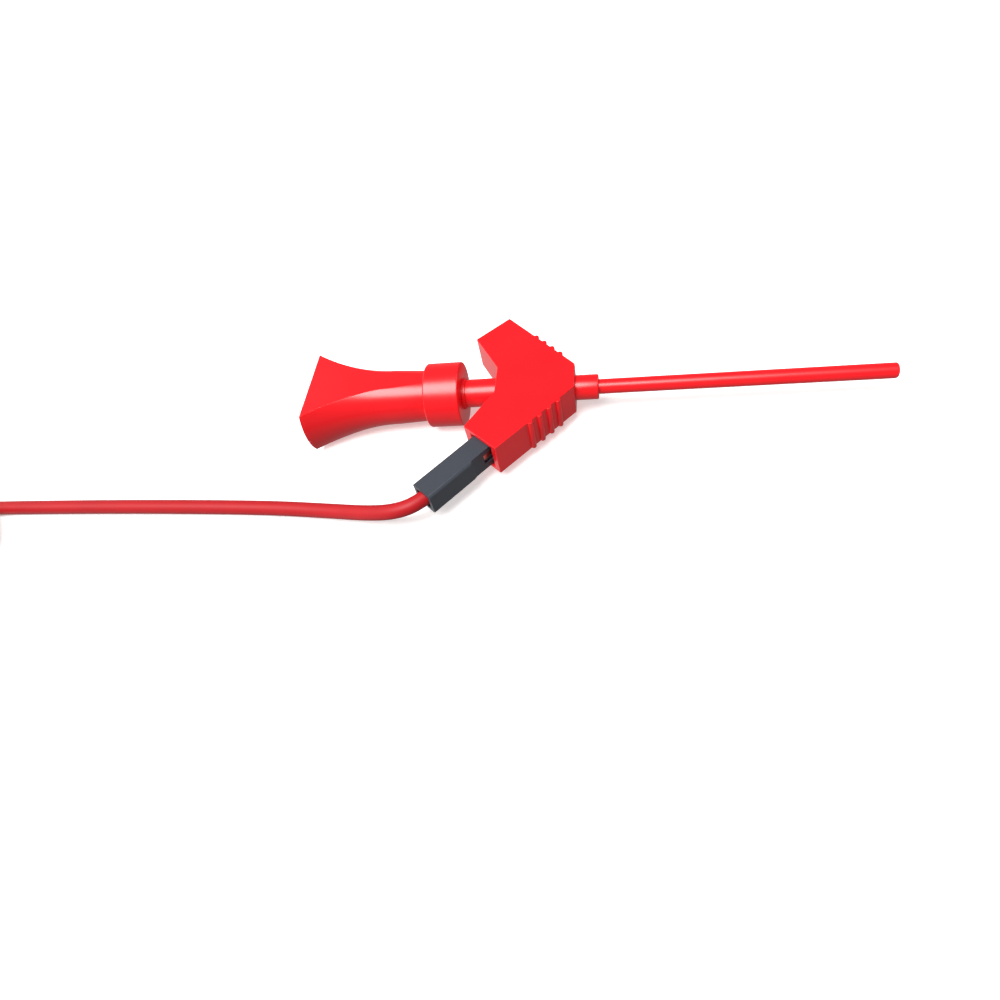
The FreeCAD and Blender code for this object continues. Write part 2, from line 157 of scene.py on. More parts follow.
class Piece:
    """A mesh on the bench: a primitive, and the operations that shape it."""

    def __init__(self, name: str) -> None:
        """Takes the primitive that was just added and puts its place into its mesh.

        Args:
            name: The piece's name.
        """
        bpy.ops.object.transform_apply(location=True, rotation=True, scale=True)
        self.object = bpy.context.active_object
        self.object.name = name
        self.object.data.name = name

    @classmethod
    def box(cls, name: str, low: Point, high: Point, place: Matrix = Matrix()) -> "Piece":
        """Adds a cube between two corners.

        Args:
            name: The piece's name.
            low: Lowest corner in mm, in the piece's own frame.
            high: Highest corner in mm.
            place: The piece's frame in the row's frame, in mm.

        Returns:
            The new piece.
        """
        middle, size = (Vector(low) + Vector(high)) / 2, Vector(high) - Vector(low)
        bpy.ops.object.select_all(action="DESELECT")
        bpy.ops.mesh.primitive_cube_add(size=1, location=place @ middle * MM, rotation=place.to_euler(),
                                        scale=size * MM)
        return cls(name)

    @classmethod
    def rod(cls, name: str, radius: float, start: Vector, end: Vector, sides: int = 64) -> "Piece":
        """Adds a cylinder between two points.

        Args:
            name: The piece's name.
            radius: Radius in mm.
            start: Middle of one end in mm.
            end: Middle of the other end in mm.
            sides: Number of flats.

        Returns:
            The new piece.
        """
        bpy.ops.object.select_all(action="DESELECT")
        run = end - start
        bpy.ops.mesh.primitive_cylinder_add(
            vertices=sides, radius=radius * MM, depth=run.length * MM,
            location=(start + end) / 2 * MM, rotation=run.to_track_quat("Z", "Y").to_euler())
        return cls(name)

    @classmethod
    def turned(cls, name: str, profile: Profile, sides: int = 96, hollow: bool = False) -> "Piece":
        """Turns a piece about the clip's axis: a circle, extruded and resized from station to station.

        Args:
            name: The piece's name.
            profile: Stations and radii in mm, along the outside and then back along any bore.
            sides: Number of flats.
            hollow: Whether the profile closes on itself round an open bore.

        Returns:
            The new piece.
        """
        (at, radius), *rest = profile
        bpy.ops.object.select_all(action="DESELECT")
        bpy.ops.mesh.primitive_circle_add(
            vertices=sides, radius=radius * MM, fill_type="NOTHING" if hollow else "NGON",
            location=row(at) * MM, rotation=(0, math.pi / 2, 0))
        piece = cls(name)
        bpy.ops.object.mode_set(mode="EDIT")
        bpy.ops.mesh.select_mode(type=(Element.EDGE if hollow else Element.FACE).value)
        bpy.ops.mesh.select_all(action="SELECT")
        for station, wanted in list(rest) + ([profile[0]] if hollow else []):
            bpy.ops.mesh.extrude_region_move(
                TRANSFORM_OT_translate={"value": Vector((station - at, 0, 0)) * MM})
            share = wanted / radius
            bpy.ops.transform.resize(value=(1, share, share), center_override=row(station) * MM)
            at, radius = station, wanted
        piece.close(merge=hollow)
        return piece

    @classmethod
    def flared(cls, name: str, half: float, far: float, lead_in: float) -> "Piece":
        """Makes a square shape along X that widens to its mouth at the origin and reaches past it.

        Args:
            name: The piece's name.
            half: Half its width in mm.
            far: Where its narrow end lies along X, in mm.
            lead_in: Length of the flare in mm, and how much it widens to each side.

        Returns:
            The new piece.
        """
        inward = math.copysign(1, far)
        start = inward * lead_in
        piece = cls.box(name, (min(start, far), -half, -half), (max(start, far), half, half))
        piece.pick(Element.FACE, lambda at, facing: facing.x * inward < -0.9)
        piece.extrude(Vector((-start, 0, 0)))
        piece.resize((1, 1 + lead_in / half, 1 + lead_in / half), Vector())
        piece.extrude(Vector((-inward * OVERCUT, 0, 0)))
        piece.close()
        return piece

    def copy(self, name: str, place: Matrix) -> "Piece":
        """Copies the piece, with a mesh of its own.

        Args:
            name: The copy's name.
            place: The frame in mm that the piece's own frame goes to.

        Returns:
            The copy.
        """
        double = self.object.copy()
        double.data = self.object.data.copy()
        bpy.context.scene.collection.objects.link(double)
        bpy.ops.object.select_all(action="DESELECT")
        double.select_set(True)
        bpy.context.view_layer.objects.active = double
        double.matrix_world = Matrix.Translation(place.translation * MM) @ place.to_3x3().to_4x4()
        return Piece(name)

    def remove(self) -> None:
        """Takes the piece off the bench."""
        bpy.data.objects.remove(self.object)

    def take(self) -> None:
        """Makes the piece the active one, and the only one that is selected."""
        bpy.ops.object.select_all(action="DESELECT")
        self.object.select_set(True)
        bpy.context.view_layer.objects.active = self.object

    def pick(self, element: Element, test: Test) -> None:
        """Opens the piece in edit mode with only what passes a test selected.

        Args:
            element: What to select.
            test: Takes an element's middle in mm and its normal.
        """
        self.take()
        bpy.ops.object.mode_set(mode="EDIT")
        bpy.ops.mesh.select_mode(type=element.value)
        bpy.ops.mesh.select_all(action="DESELECT")
        mesh = bmesh.from_edit_mesh(self.object.data)
        mesh.normal_update()
        if element is Element.VERTEX:
            spots = [(v, v.co, v.normal) for v in mesh.verts]
        elif element is Element.EDGE:
            spots = [(e, (e.verts[0].co + e.verts[1].co) / 2,
                      sum((f.normal for f in e.link_faces), Vector())) for e in mesh.edges]
        else:
            spots = [(f, f.calc_center_median(), f.normal) for f in mesh.faces]
        for spot, middle, normal in spots:
            if test(middle / MM, normal):
                spot.select_set(True)
        mesh.select_flush_mode()
        bmesh.update_edit_mesh(self.object.data)

    def extrude(self, shift: Vector) -> None:
        """Extrudes what is selected by a shift in mm."""
        bpy.ops.mesh.extrude_region_move(TRANSFORM_OT_translate={"value": shift * MM})

    def move(self, shift: Vector) -> None:
        """Moves what is selected by a shift in mm."""
        bpy.ops.transform.translate(value=shift * MM)

    def resize(self, factors: Point, centre: Vector) -> None:
        """Resizes what is selected about a point in mm."""
        bpy.ops.transform.resize(value=factors, center_override=centre * MM)

    def bevel_edges(self, width: float, segments: int) -> None:
        """Bevels the selected edges by a width in mm."""
        bpy.ops.mesh.bevel(offset=width * MM, segments=segments, affect="EDGES", clamp_overlap=False)

    def slice(self, point: Vector, normal: Vector) -> None:
        """Cuts off what lies past a plane and closes the cut.

        Args:
            point: A point of the plane in mm.
            normal: The side that is cut off.
        """
        self.pick(Element.FACE, lambda middle, facing: True)
        bpy.ops.mesh.bisect(plane_co=point * MM, plane_no=normal, use_fill=True,
                            clear_outer=True, threshold=TINY * MM)
        self.close()

    def close(self, merge: bool = False) -> None:
        """Ends edit mode with the faces pointing outwards.

        Args:
            merge: Whether doubled vertices are merged first.
        """
        bpy.ops.mesh.select_all(action="SELECT")
        if merge:
            bpy.ops.mesh.remove_doubles(threshold=TINY)
        bpy.ops.mesh.normals_make_consistent(inside=False)
        bpy.ops.mesh.select_all(action="DESELECT")
        bpy.ops.object.mode_set(mode="OBJECT")

    def apply(self, modifier: bpy.types.Modifier) -> None:
        """Applies a modifier to the piece."""
        self.take()
        bpy.ops.object.modifier_apply(modifier=modifier.name)

    def soften(self, width: float, segments: int = 3, angle: float = 30.0) -> None:
        """Rounds every edge that is sharper than an angle.

        Args:
            width: Width of the rounding in mm.
            segments: Faces across the rounding.
            angle: Least turn between two faces, in degrees.
        """
        modifier = self.object.modifiers.new("Rounding", "BEVEL")
        modifier.width = width * MM
        modifier.segments = segments
        modifier.limit_method = "ANGLE"
        modifier.angle_limit = math.radians(angle)
        modifier.miter_outer = "MITER_ARC"
        self.apply(modifier)

    def combine(self, tool: "Piece", merge: Merge) -> None:
        """Cuts the piece by another one, or joins the two, and removes the other.

        Args:
            tool: The other piece.
            merge: Which of the two.
        """
        modifier = self.object.modifiers.new("Shape", "BOOLEAN")
        modifier.operation = merge.value
        modifier.object = tool.object
        modifier.solver = "EXACT"
        self.apply(modifier)
        tool.remove()

    def cut(self, tool: "Piece") -> None:
        """Cuts another piece out of this one."""
        self.combine(tool, Merge.CUT)

    def unite(self, tool: "Piece") -> None:
        """Makes this piece and another one solid."""
        self.combine(tool, Merge.UNITE)

    def shade(self, angle: float = 30.0) -> None:
        """Shades the piece smooth, with its large faces flat and its sharp edges crisp.

        Args:
            angle: Least turn of an edge that stays crisp, in degrees.
        """
        self.take()
        bpy.ops.object.shade_smooth_by_angle(angle=math.radians(angle))
        modifier = self.object.modifiers.new("Flat faces", "WEIGHTED_NORMAL")
        modifier.keep_sharp = True
        self.apply(modifier)

    def fit(self, body: Body, slot: Slot, finish: bpy.types.Material, *nodes: str) -> bpy.types.Object:
        """Dresses the piece and hands it to the frame.

        Args:
            body: The body that it moves with.
            slot: The record's slot that it takes its finish from.
            finish: Its material.
            nodes: The solids that it stands for.

        Returns:
            The finished object.
        """
        self.object.data.materials.clear()
        self.object.data.materials.append(finish)
        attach(self.object, body.value)
        if nodes:
            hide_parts(*nodes)
        log.info("%s: %d faces, on %s", self.object.name, len(self.object.data.polygons), body.value)
        return self.object


class Recipe:
    """A material or a world in the making: its nodes, their settings and links."""

    def __init__(self, name: str, world: bool = False) -> None:
        """Starts an empty material or world.

        Args:
            name: Its name.
            world: Whether it is a world.
        """
        self.made = (bpy.data.worlds if world else bpy.data.materials).new(name)
        self.made.use_nodes = True
        self.tree = self.made.node_tree
        self.tree.nodes.clear()
        self.output = "ShaderNodeOutputWorld" if world else "ShaderNodeOutputMaterial"

    def add(self, kind: str, settings: Optional[dict] = None, **inputs: object) -> bpy.types.Node:
        """Adds a node with its settings and links.

        Args:
            kind: The node's type.
            settings: Values of the node's own properties.
            inputs: Values or output sockets for its inputs, by name with underscores for spaces, or by
                number after an i.

        Returns:
            The new node.
        """
        node = self.tree.nodes.new(kind)
        for key, value in (settings or {}).items():
            setattr(node, key, value)
        for key, value in inputs.items():
            by_number = key[0] == "i" and key[1:].isdigit()
            socket = node.inputs[int(key[1:]) if by_number else key.replace("_", " ")]
            if isinstance(value, bpy.types.NodeSocket):
                self.tree.links.new(value, socket)
            else:
                socket.default_value = value
        return node

    def finish(self, shader: bpy.types.Node) -> bpy.types.ID:
        """Links the shader to the output.

        Args:
            shader: The surface's shader node.

        Returns:
            The finished material or world.
        """
        self.add(self.output, Surface=shader.outputs[0])
        return self.made


@dataclass(frozen=True)
class Finish:
    """What the part's finishes share: two near colours blended by a pattern, and a faintly raised skin."""

    name: str
    colour: str
    shade: str
    roughness: float
    skin_depth_mm: float
    skin_strength: float

    def surface(self, recipe: Recipe, patches: bpy.types.Node, skin: bpy.types.Node,
                **inputs: object) -> bpy.types.Material:
        """Blends the colours by one pattern, raises the skin by another and ends the material.

        Args:
            recipe: The material in the making.
            patches: The pattern of the colours.
            skin: The pattern of the skin.
            inputs: The shader's other inputs.

        Returns:
            The material.
        """
        colour = recipe.add("ShaderNodeMix", {"data_type": "RGBA"}, i0=patches.outputs[0],
                            i6=linear(self.shade), i7=linear(self.colour))
        bump = recipe.add("ShaderNodeBump", Height=skin.outputs[0], Distance=self.skin_depth_mm * MM,
                          Strength=self.skin_strength)
        return recipe.finish(recipe.add("ShaderNodeBsdfPrincipled", Base_Color=colour.outputs[2],
                                        Normal=bump.outputs[0], **inputs))


@dataclass(frozen=True)
class MouldedNylon(Finish):
    """Red nylon 66, injection moulded: a satin skin with a fine spark-eroded grain and faint flow marks."""

    name: str = "moulded_red_nylon"
    colour: str = "EE121C"
    shade: str = "E61019"
    roughness: float = 0.3
    skin_depth_mm: float = 0.0025
    skin_strength: float = 0.6
    # The real grain is about 0.03 mm, which is too fine to show, so it is drawn four times as coarse.
    grain_mm: float = 0.12
    flow_mm: float = 5.0

    def make(self) -> bpy.types.Material:
        """Builds the material.

        Returns:
            The material.
        """
        recipe = Recipe(self.name)
        at = recipe.add("ShaderNodeTexCoord").outputs["Object"]
        flow = recipe.add("ShaderNodeTexNoise", Vector=at, Scale=1 / (self.flow_mm * MM), Detail=3.0)
        grain = recipe.add("ShaderNodeTexNoise", Vector=at, Scale=1 / (self.grain_mm * MM), Detail=2.0)
        gloss = recipe.add("ShaderNodeMapRange", Value=flow.outputs[0], To_Min=self.roughness - 0.05,
                           To_Max=self.roughness + 0.06)
        return self.surface(recipe, flow, grain, Roughness=gloss.outputs[0], IOR=1.53)


@dataclass(frozen=True)
class FilledHousing(Finish):
    """Black glass-filled polyester of a connector housing: a dull skin with fibres that just show."""

    name: str = "black_filled_polyester"
    colour: str = "30343C"
    shade: str = "383D47"
    roughness: float = 0.48
    skin_depth_mm: float = 0.004
    skin_strength: float = 0.7
    fibre_mm: float = 0.25
    # The dull skin's real grain is about 0.02 mm, drawn coarser so that it shows.
    grain_mm: float = 0.08

    def make(self) -> bpy.types.Material:
        """Builds the material.

        Returns:
            The material.
        """
        recipe = Recipe(self.name)
        at = recipe.add("ShaderNodeTexCoord").outputs["Object"]
        fibre = recipe.add("ShaderNodeTexNoise", Vector=at, Scale=1 / (self.fibre_mm * MM), Detail=4.0)
        grain = recipe.add("ShaderNodeTexNoise", Vector=at, Scale=1 / (self.grain_mm * MM), Detail=3.0)
        return self.surface(recipe, fibre, grain, Roughness=self.roughness, IOR=1.57)


@dataclass(frozen=True)
class SoftInsulation(Finish):
    """Red plasticised vinyl, extruded over the strands: a soft low shine, faintly uneven along the wire."""

    name: str = "extruded_red_vinyl"
    colour: str = "B9141C"
    shade: str = "A91018"
    roughness: float = 0.5
    skin_depth_mm: float = 0.01
    skin_strength: float = 0.5
    shine: float = 0.3
    # The twist of the strands below gives the skin a ripple every few millimetres.
    ripple_mm: float = 2.5

    def make(self) -> bpy.types.Material:
        """Builds the material.

        Returns:
            The material.
        """
        recipe = Recipe(self.name)
        at = recipe.add("ShaderNodeTexCoord").outputs["Object"]
        ripple = recipe.add("ShaderNodeTexNoise", Vector=at, Scale=1 / (self.ripple_mm * MM), Detail=2.0)
        return self.surface(recipe, ripple, ripple, Roughness=self.roughness, IOR=1.54,
                            Specular_IOR_Level=self.shine)


@dataclass(frozen=True)
class DrawnMetal(Finish):
    """Drawn or stamped metal: fine die lines along the axis and a slightly uneven shine."""

    skin_depth_mm: float = 0.002
    skin_strength: float = 0.5
    # Die lines are some 0.005 mm apart in the real metal, and are drawn coarser so that they show.
    line_mm: float = 0.03

    def make(self) -> bpy.types.Material:
        """Builds the material.

        Returns:
            The material.
        """
        recipe = Recipe(self.name)
        at = recipe.add("ShaderNodeTexCoord").outputs["Object"]
        stretched = recipe.add("ShaderNodeMapping", Vector=at, Scale=(0.05, 1.0, 1.0))
        lines = recipe.add("ShaderNodeTexNoise", Vector=stretched.outputs[0],
                           Scale=1 / (self.line_mm * MM), Detail=2.0)
        return self.surface(recipe, lines, lines, Roughness=self.roughness, Metallic=1.0)


@dataclass(frozen=True)
class LightTable:
    """Opal acrylic of a light table, lit faintly from below: matt white, with hardly any shadow."""

    name: str = "opal_light_table"
    colour: str = "F3F3F2"
    glow: float = 0.45
    # The acrylic's matt tooth is far finer than this, and is drawn so that it shows at all.
    tooth_mm: float = 0.8
    tooth_depth_mm: float = 0.02

    def make(self) -> bpy.types.Material:
        """Builds the material.

        Returns:
            The material.
        """
        recipe = Recipe(self.name)
        at = recipe.add("ShaderNodeTexCoord").outputs["Object"]
        tooth = recipe.add("ShaderNodeTexNoise", Vector=at, Scale=1 / (self.tooth_mm * MM), Detail=2.0)
        bump = recipe.add("ShaderNodeBump", Height=tooth.outputs[0], Distance=self.tooth_depth_mm * MM,
                          Strength=0.1)
        shader = recipe.add("ShaderNodeBsdfPrincipled", Base_Color=linear(self.colour), Roughness=0.9,
                            Emission_Color=linear(self.colour), Emission_Strength=self.glow,
                            Normal=bump.outputs[0])
        return recipe.finish(shader)


@dataclass
class Arm:
    """One swept-back arm: its directions and the corners of its end."""

    side: Side
    sweep: float = 48.0
    end_back: float = 0.94
    end_out: float = 7.69
    end_width: float = 4.5
    socket_offset: float = 0.12
    root_half: float = 1.72
    nose_x: float = 7.9
    nose_half: float = 1.59

    def __post_init__(self) -> None:
        """Works out the arm's directions and corners."""
        angle, sign = math.radians(self.sweep), self.side.value
        self.out = Vector((-math.cos(angle), sign * math.sin(angle), 0))
        self.across = Vector((math.sin(angle), sign * math.cos(angle), 0))
        end = row(-self.end_back, sign * self.end_out)
        self.inner = end - self.across * (self.end_width / 2)
        self.outer = end + self.across * (self.end_width / 2)
        self.root = row(0, sign * self.root_half)
        self.nose = row(self.nose_x, sign * self.nose_half)
        self.socket = end + self.across * self.socket_offset
        self.flank = (self.nose - self.outer).normalized()
        self.flank_out = Vector((-self.flank.y, self.flank.x, 0)) * sign

    def frame(self, reach: float = 0.0) -> Matrix:
        """Gives the frame on the socket's axis whose X points out of the arm.

        Args:
            reach: How far out of the socket's mouth its origin lies, in mm.

        Returns:
            The frame in mm.
        """
        turn = Matrix((self.out, Vector((0, 0, 1)).cross(self.out), (0, 0, 1))).transposed().to_4x4()
        return Matrix.Translation(self.socket + self.out * reach) @ turn


@dataclass
class Housing:
    """The moulded body with its two arms, sockets, grip ribs and nose boss, and the pins in it."""

    thickness: float = 3.7
    rounding: float = 0.1
    rib_count: int = 4
    rib_start: float = 4.45
    rib_pitch: float = 1.24
    rib_radius: float = 0.29
    rib_rounding: float = 0.07
    boss_radius: float = 1.25
    boss_front: float = 10.2
    boss_rounding: float = 0.13
    mouth_radius: float = 1.49
    mouth_length: float = 0.8
    chamber_radius: float = 1.63
    chamber_end: float = 6.9
    wire_hole: float = 0.55
    seat_radius: float = 0.95
    seat_start: float = 7.6
    socket_width: float = 2.74
    socket_depth: float = 6.5
    lead_in: float = 0.12
    pin_width: float = 0.64
    pin_exposed: float = 5.2
    pin_point: float = 0.2
    pin_rounding: float = 0.03
    arm_pull: float = 4.0

    def __post_init__(self) -> None:
        """Lays out the two arms."""
        self.arms = [Arm(side) for side in Side]

    def blank(self) -> Piece:
        """Makes the flat arrow of the body: a plate whose sides are pulled out to the arms.

        Returns:
            The piece, one thickness high.
        """
        half, nose_x, nose_half = self.arms[0].root_half, self.arms[0].nose_x, self.arms[0].nose_half
        bpy.ops.object.select_all(action="DESELECT")
        bpy.ops.mesh.primitive_plane_add(size=2 * half * MM, location=row(0) * MM)
        piece = Piece("moulded_body")
        self.stretch(piece, row(half), row(nose_x), half, nose_half)
        self.stretch(piece, row(-half), row(0), half, half)
        for arm in self.arms:
            pull = Vector((0, arm.side.value * self.arm_pull, 0))
            middle = (arm.root + arm.nose) / 2
            piece.pick(Element.EDGE, lambda at, facing: (at - middle).length < NEAR)
            piece.extrude(pull)
            piece.close()
            for corner, target in ((arm.root, arm.inner), (arm.nose, arm.outer)):
                pulled = corner + pull
                piece.pick(Element.VERTEX, lambda at, facing: (at - pulled).length < NEAR)
                piece.move(target - pulled)
                piece.close()
        piece.pick(Element.FACE, lambda at, facing: True)
        piece.move(Vector((0, 0, -self.thickness / 2)))
        piece.extrude(Vector((0, 0, self.thickness)))
        piece.close()
        return piece

    def stretch(self, piece: Piece, edge: Vector, target: Vector, half: float, wanted: float) -> None:
        """Moves one end edge of the plate along the axis and resizes it.

        Args:
            piece: The plate.
            edge: The middle of the edge in mm.
            target: Where the middle goes in mm.
            half: Half the edge's length in mm.
            wanted: Half its new length in mm.
        """
        piece.pick(Element.EDGE, lambda at, facing: (at - edge).length < NEAR)
        piece.move(target - edge)
        piece.resize((1, wanted / half, 1), target)
        piece.close()

    def rib(self) -> Piece:
        """Makes one grip rib, upright at the origin.

        Returns:
            The piece.
        """
        half = Vector((0, 0, self.thickness / 2 - self.rounding / 2))
        rib = Piece.rod("rib", self.rib_radius, -half, half, 28)
        rib.soften(self.rib_rounding, 2, 60)
        return rib

    def bore_tool(self) -> Piece:
        """Makes the stepped round shape that cuts the body's bore.

        Returns:
            The cutting piece.
        """
        return Piece.turned("bore_tool", [
            (-OVERCUT, self.mouth_radius), (self.mouth_length, self.mouth_radius),
            (self.mouth_length, self.chamber_radius), (self.chamber_end, self.chamber_radius),
            (self.chamber_end, self.wire_hole), (self.seat_start, self.wire_hole),
            (self.seat_start, self.seat_radius), (self.boss_front + OVERCUT, self.seat_radius)])

    def shell(self) -> Piece:
        """Makes the whole moulded body.

        Returns:
            The piece.
        """
        piece = self.blank()
        piece.soften(self.rounding, 3)
        rib = self.rib()
        for arm in self.arms:
            for i in range(self.rib_count):
                foot = arm.outer + arm.flank * (self.rib_start + i * self.rib_pitch)
                piece.unite(rib.copy("rib", Matrix.Translation(foot)))
        rib.remove()
        boss = Piece.turned("boss", [(5.0, self.boss_radius), (self.boss_front, self.boss_radius)])
        boss.soften(self.boss_rounding, 4)
        piece.unite(boss)
        socket = Piece.flared("socket_tool", self.socket_width / 2, -self.socket_depth, self.lead_in)
        for arm in self.arms:
            piece.cut(socket.copy("socket", arm.frame()))
        socket.remove()
        piece.cut(self.bore_tool())
        piece.shade(28)
        return piece

    def pin(self) -> Piece:
        """Makes the pointed square pin of a socket whose mouth is at the origin.

        Returns:
            The piece.
        """
        half, arm = self.pin_width / 2, self.arms[0]
        rear = -(abs(arm.socket.y) - self.chamber_radius) / abs(arm.out.y)
        tip = self.pin_exposed - self.socket_depth
        pin = Piece.box("socket_pin", (rear, -half, -half), (tip - self.pin_point, half, half))
        pin.pick(Element.FACE, lambda at, facing: facing.x > 0.9)
        pin.extrude(Vector((self.pin_point, 0, 0)))
        pin.resize((1, 1 - self.pin_point / half, 1 - self.pin_point / half), Vector((tip, 0, 0)))
        pin.close()
        pin.soften(self.pin_rounding, 2)
        pin.shade()
        return pin

    def build(self, nylon: bpy.types.Material, tin: bpy.types.Material) -> None:
        """Makes and dresses the body and its pins.

        Args:
            nylon: The body's material.
            tin: The pins' material.
        """
        self.shell().fit(Body.CLIP, Slot.NYLON, nylon, "body_housing")
        pin = self.pin()
        for arm, node in zip(self.arms, ("lead_socket_pin", "spare_socket_pin")):
            pin.copy(node + "_formed", arm.frame()).fit(Body.CLIP, Slot.PIN, tin, node)
        pin.remove()


@dataclass
class Shaft:
    """The slim tube in the nose boss, and the two claws that lie in its tip."""

    radius: float = 0.74
    bore: float = 0.5
    seat_radius: float = 0.95
    seat_start: float = 7.6
    shoulder: float = 10.2
    tip: float = 37.8
    tip_round: float = 0.22
    pivot: float = 34.9
    claw_radius: float = 0.16
    claw_spacing: float = 0.38
    claw_recess: float = 0.3
    claw_bend: float = 0.22
    claw_stagger: float = 0.38
    hook: float = 0.36
    short_hook: float = 0.19
    claw_rounding: float = 0.03

    def tube(self) -> Piece:
        """Makes the tube with its rounded tip.

        Returns:
            The piece.
        """
        steps = 8
        angles = [math.pi / 2 * i / steps for i in range(steps + 1)]
        corner = [(self.tip - self.tip_round * (1 - math.sin(a)),
                   self.radius - self.tip_round * (1 - math.cos(a))) for a in angles]
        tube = Piece.turned("shaft_tube_moulded", [
            (self.seat_start, self.bore), (self.seat_start, self.seat_radius),
            (self.shoulder, self.seat_radius), (self.shoulder, self.radius), *corner,
            (self.tip, self.bore)], sides=72, hollow=True)
        tube.shade()
        return tube

    def claw(self, name: str, side: int, shortening: float, reach: float) -> Piece:
        """Makes one claw: a wire that is spun round a bend and drawn on to a hook.

        Args:
            name: The claw's name.
            side: The sign of its side of the axis.
            shortening: How much shorter it is than the longer claw, in mm.
            reach: How far its hook reaches across, in mm.

        Returns:
            The piece.
        """
        y = side * self.claw_spacing / 2
        bend = min(self.claw_bend, reach)
        end = self.tip - self.claw_recess - self.claw_radius - shortening
        claw = Piece.rod(name, self.claw_radius, row(self.pivot, y), row(end - bend, y), 20)
        claw.pick(Element.FACE, lambda at, facing: facing.x > 0.9)
        bpy.ops.mesh.spin(steps=8, angle=math.pi / 2 * side, axis=(0, 0, 1),
                          center=row(end - bend, y - side * bend) * MM)
        if reach > bend:
            claw.extrude(Vector((0, -side * (reach - bend), 0)))
        claw.close(merge=True)
        claw.soften(self.claw_rounding, 2, 60)
        claw.shade(40)
        return claw

    def build(self, nylon: bpy.types.Material, steel: bpy.types.Material) -> None:
        """Makes and dresses the tube and the claws.

        Args:
            nylon: The tube's material.
            steel: The claws' material.
        """
        self.tube().fit(Body.CLIP, Slot.TUBE, nylon, "shaft_tube")
        long_claw = self.claw("left_claw_bent", 1, 0, self.hook)
        long_claw.fit(Body.LEFT_JAW, Slot.CLAW, steel, "left_claw")
        short_claw = self.claw("right_claw_bent", -1, self.claw_stagger, self.short_hook)
        short_claw.fit(Body.RIGHT_JAW, Slot.CLAW, steel, "right_claw")


@dataclass
class Plunger:
    """The sliding rod with its collar, and the flared thumb button on its spigot."""

    rod_radius: float = 1.43
    rod_front: float = 2.2
    barb_start: float = 0.85
    barb_height: float = 0.16
    barb_length: float = 0.65
    barb_tip: float = 1.25
    nose_radius: float = 1.2
    collar_radius: float = 3.27
    collar_front: float = -3.6
    collar_rear: float = -7.2
    hub_radius: float = 1.6
    hub_length: float = 0.35
    spigot_radius: float = 1.1
    spigot_length: float = 6.5
    crimp_radius: float = 0.48
    crimp_reach: float = 2.0
    rounding: float = 0.14
    button_rear: float = -19.7
    neck_x: float = -10.7
    neck_radius: float = 2.78
    neck_taper: float = 0.054
    end_radius: float = 5.2
    flat_half: float = 2.52
    seam: float = 0.12
    end_round: float = 0.2

    def rod(self) -> Piece:
        """Makes the rod, its barb, its collar and its spigot.

        Returns:
            The piece.
        """
        barb_end = self.barb_start + self.barb_length
        rod = Piece.turned("plunger_moulded", [
            (self.collar_rear - self.spigot_length, self.spigot_radius),
            (self.collar_rear, self.spigot_radius), (self.collar_rear, self.collar_radius),
            (self.collar_front, self.collar_radius), (self.collar_front, self.hub_radius),
            (self.collar_front + self.hub_length, self.hub_radius),
            (self.collar_front + self.hub_length, self.rod_radius), (self.barb_start, self.rod_radius),
            (self.barb_start, self.rod_radius + self.barb_height), (barb_end, self.barb_tip),
            (barb_end, self.nose_radius), (self.rod_front, self.nose_radius),
            (self.rod_front, self.crimp_radius), (self.rod_front - self.crimp_reach, self.crimp_radius)])
        faces = [row(self.collar_front).x, row(self.collar_rear).x]
        rod.pick(Element.EDGE, lambda at, facing: min(abs(at.x - face) for face in faces) < NEAR
                 and (at - row(at.x - AXIS_X)).length > self.collar_radius - NEAR)
        rod.bevel_edges(self.rounding, 4)
        rod.close()
        rod.shade()
        return rod

    def flare(self) -> Profile:
        """Gives the button's flared outside, an arc that starts along the neck.

        Returns:
            Stations and radii in mm.
        """
        length = self.neck_x - self.button_rear
        rise = self.end_radius - self.neck_radius
        arc = (length ** 2 + rise ** 2) / (2 * rise)
        steps = 22
        reach = [length * i / steps for i in range(1, steps + 1)]
        return [(self.neck_x - x, self.neck_radius + arc - math.sqrt(arc ** 2 - x ** 2)) for x in reach]

    def button(self) -> Piece:
        """Makes the thumb button: turned, cut by two flats and softened.

        Returns:
            The piece.
        """
        neck_end = self.neck_radius - self.neck_taper * (self.collar_rear - self.neck_x)
        button = Piece.turned("thumb_button_moulded", [
            (self.collar_rear - self.spigot_length, self.spigot_radius),
            (self.collar_rear, self.spigot_radius), (self.collar_rear, neck_end - self.seam),
            (self.collar_rear - self.seam, neck_end), (self.neck_x, self.neck_radius),
            *self.flare()], sides=160)
        for sign in (1, -1):
            button.slice(row(0, 0, sign * self.flat_half), Vector((0, 0, sign)))
        button.soften(self.end_round, 4, 17)
        button.shade(40)
        return button

    def build(self, nylon: bpy.types.Material) -> None:
        """Makes and dresses the rod and the button.

        Args:
            nylon: Their material.
        """
        self.rod().fit(Body.BUTTON, Slot.NYLON, nylon, "plunger")
        self.button().fit(Body.BUTTON, Slot.NYLON, nylon, "thumb_button")


